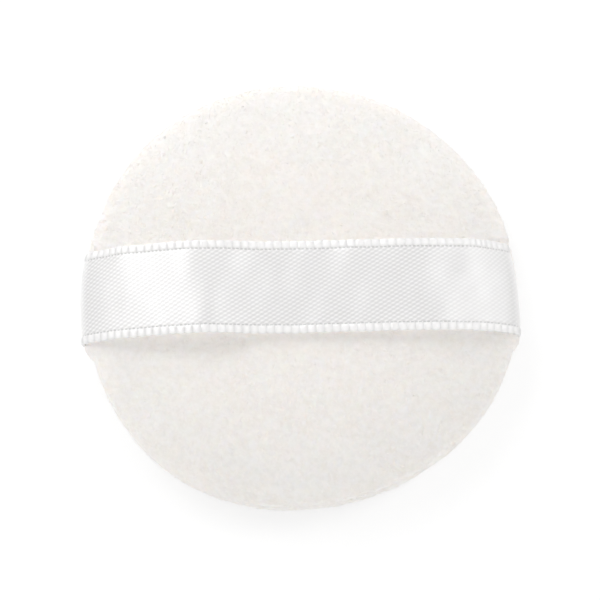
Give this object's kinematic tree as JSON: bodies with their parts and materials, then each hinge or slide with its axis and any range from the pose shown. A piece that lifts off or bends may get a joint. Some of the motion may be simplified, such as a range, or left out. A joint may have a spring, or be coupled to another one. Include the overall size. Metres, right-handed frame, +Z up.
{
  "type": "powder puff",
  "caption": "Round domed powder puff of plush covers sewn at the rim over a foam disc, with a satin ribbon handle across its back that lifts for the fingers.",
  "frame": {"origin": "middle of the flat resting face, under the puff's centre", "axes": "+X along the ribbon handle, +Z up from the resting face through the crown, +Y across the ribbon towards the hand-closed part of the seam"},
  "size_m": [0.0572, 0.056, 0.0124],
  "materials": {
    "plush": "short dense off-white cotton pile, matt",
    "satin": "white satin weave with beaded selvages, soft sheen",
    "foam": "open-cell cream foam",
    "thread": "spun white sewing thread"
  },
  "bodies": {
    "pad": {"back_cover": "plush", "face_cover": "plush", "foam_core": "foam", "seam_needle_thread": "thread", "seam_bobbin_thread": "thread", "closing_thread": "thread", "left_bar_tack": "thread", "right_bar_tack": "thread"},
    "handle": {"ribbon_handle": "satin"}
  },
  "joints": [
    {"name": "handle_lift", "type": "slide", "parent": "pad", "child": "handle", "axis": [0, 0, 1], "range_m": [0, 0.004], "deforming": ["ribbon_handle"]}
  ]
}
